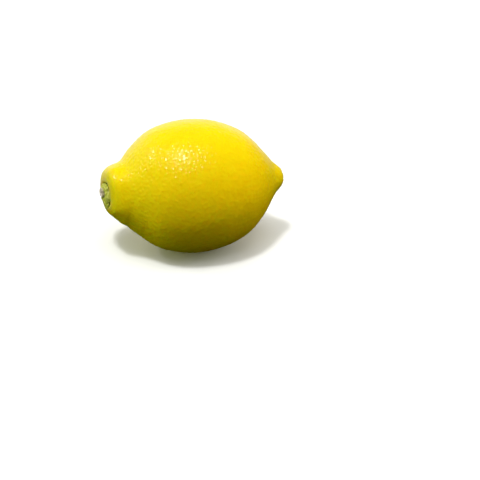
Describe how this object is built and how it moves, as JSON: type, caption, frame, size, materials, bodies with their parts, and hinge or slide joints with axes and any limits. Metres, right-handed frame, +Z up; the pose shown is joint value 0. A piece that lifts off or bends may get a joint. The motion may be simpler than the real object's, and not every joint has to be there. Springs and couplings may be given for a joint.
{
  "type": "lemon",
  "caption": "Whole picked lemon lying on its side, with a short neck and green stem button at one end and a blunt nipple at the other.",
  "frame": {"origin": "under the middle of the fruit's bounding box, on the surface it lies on", "axes": "+X along the fruit from the stem end to the nipple, +Z up"},
  "size_m": [0.0802, 0.058, 0.0574],
  "materials": {
    "peel": "waxy yellow citrus peel with oil gland dimples",
    "button": "matt green calyx with a dry woody scar"
  },
  "bodies": {
    "root": {"lemon_fruit": "peel", "stem_button": "button"}
  },
  "joints": []
}
